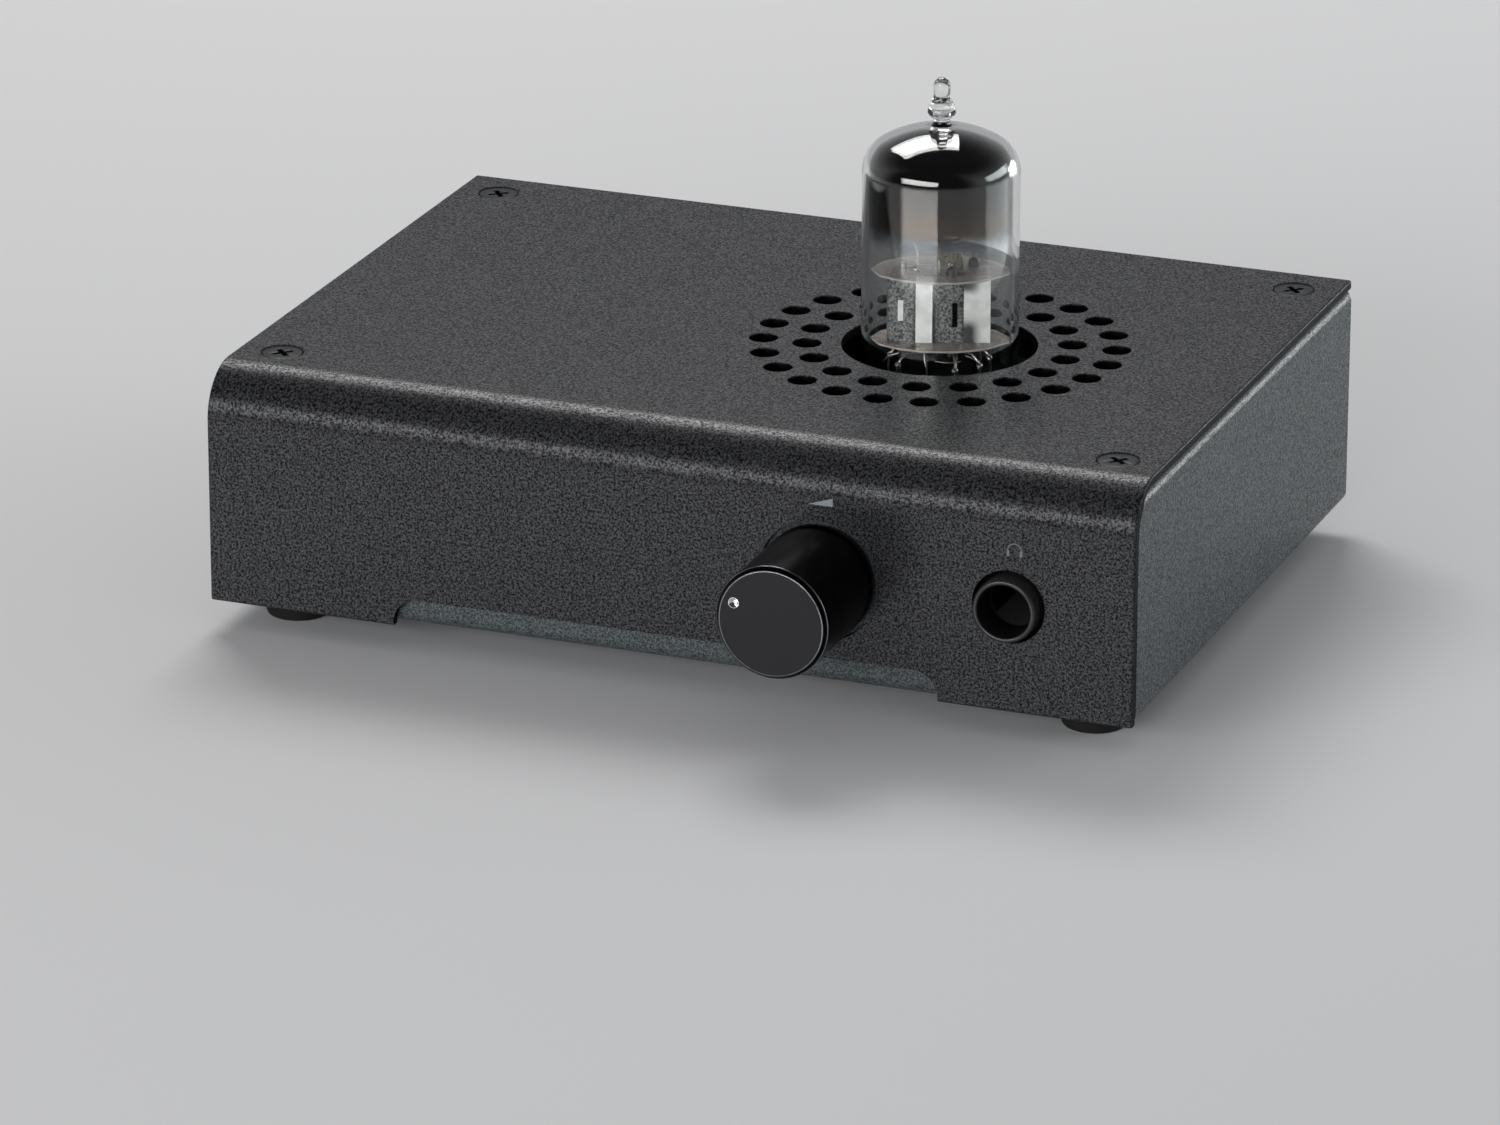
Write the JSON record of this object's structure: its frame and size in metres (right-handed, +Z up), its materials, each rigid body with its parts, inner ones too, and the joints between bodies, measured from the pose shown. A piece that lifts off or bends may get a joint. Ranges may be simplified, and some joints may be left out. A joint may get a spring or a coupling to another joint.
{
  "type": "headphone amplifier",
  "caption": "Small desktop headphone amplifier: bent steel cover over a tray, plug-in tube in a ring of vents, volume knob and headphone socket in front.",
  "frame": {"origin": "on the table, under the middle of the overall footprint from the knob face to the tips of the phono barrels", "axes": "+X to the right seen from the front, +Y from the front panel to the rear, +Z up"},
  "size_m": [0.127, 0.115, 0.0718],
  "materials": {
    "textured_black": "fine-textured black powder coat",
    "coated_steel": "smooth dark grey coat",
    "black_screw": "black oxide",
    "plated_steel": "nickel plated",
    "foot_rubber": "matt black rubber",
    "board_laminate": "green solder mask",
    "anodised_black": "black anodised, fine turned",
    "moulded_black": "moulded black plastic",
    "tinned_contact": "tin plated",
    "tube_glass": "clear glass",
    "mica": "translucent mica",
    "grey_anode": "grey blackened nickel",
    "bright_nickel": "bright nickel wire",
    "tungsten": "coated heater",
    "socket_ceramic": "glazed white ceramic",
    "phono_barrel": "thin gold plating",
    "phono_white": "white plastic",
    "phono_red": "red plastic",
    "capacitor_sleeve": "dark sleeve",
    "film_red": "red box",
    "raw_aluminium": "plain aluminium",
    "resistor_body": "blue metal film resistor"
  },
  "bodies": {
    "case": {"board_screws": "plated_steel", "board_standoffs": "plated_steel", "chassis_tray": "coated_steel", "clinch_nuts": "plated_steel", "cover_screws": "black_screw", "feet": "foot_rubber", "film_capacitors": "film_red", "gain_switch_body": "moulded_black", "gain_switch_bushing": "plated_steel", "headphone_jack_body": "moulded_black", "headphone_jack_contacts": "tinned_contact", "headphone_jack_nose": "moulded_black", "heatsinks": "raw_aluminium", "input_jack_block": "moulded_black", "input_left_barrel": "phono_barrel", "input_left_contact": "tinned_contact", "input_left_insulator": "phono_white", "input_right_barrel": "phono_barrel", "input_right_contact": "tinned_contact", "input_right_insulator": "phono_red", "main_board": "board_laminate", "mute_relay": "moulded_black", "outer_shell": "textured_black", "output_jack_block": "moulded_black", "output_left_barrel": "phono_barrel", "output_left_contact": "tinned_contact", "output_left_insulator": "phono_white", "output_right_barrel": "phono_barrel", "output_right_contact": "tinned_contact", "output_right_insulator": "phono_red", "output_transistors": "moulded_black", "pot_body": "moulded_black", "pot_bushing": "plated_steel", "power_inlet_body": "moulded_black", "power_inlet_pin": "tinned_contact", "power_switch_body": "moulded_black", "power_switch_bushing": "plated_steel", "rectifier_diodes": "moulded_black", "reservoir_capacitors": "capacitor_sleeve", "resistors": "resistor_body", "small_capacitors": "capacitor_sleeve", "tube_socket": "socket_ceramic", "tube_socket_contacts": "tinned_contact", "voltage_regulators": "moulded_black"},
    "knob": {"volume_knob": "anodised_black", "knob_set_screw": "black_screw", "pot_shaft": "plated_steel", "pot_wiper": "moulded_black"},
    "tube": {"tube_anodes": "grey_anode", "tube_cathodes": "bright_nickel", "tube_getter": "bright_nickel", "tube_glass": "tube_glass", "tube_grids": "bright_nickel", "tube_heaters": "tungsten", "tube_lower_mica": "mica", "tube_pins": "tinned_contact", "tube_shield": "bright_nickel", "tube_upper_mica": "mica"},
    "gain_lever": {"gain_switch_lever": "plated_steel"},
    "power_lever": {"power_switch_lever": "plated_steel"}
  },
  "joints": [
    {"name": "volume_turn", "type": "hinge", "parent": "case", "child": "knob", "pos_m": [0.0212, -0.04095, 0.01795], "axis": [0, 1, 0], "range_deg": [-83.4, 216.6]},
    {"name": "tube_lift", "type": "slide", "parent": "case", "child": "tube", "axis": [0, 0, 1], "range_m": [0, 0.03]},
    {"name": "gain_switch_flip", "type": "hinge", "parent": "case", "child": "gain_lever", "pos_m": [0.016, 0.0502, 0.0175], "axis": [1, 0, 0], "range_deg": [0, 25]},
    {"name": "power_switch_flip", "type": "hinge", "parent": "case", "child": "power_lever", "pos_m": [0.033, 0.0502, 0.0175], "axis": [1, 0, 0], "range_deg": [0, 25]}
  ]
}
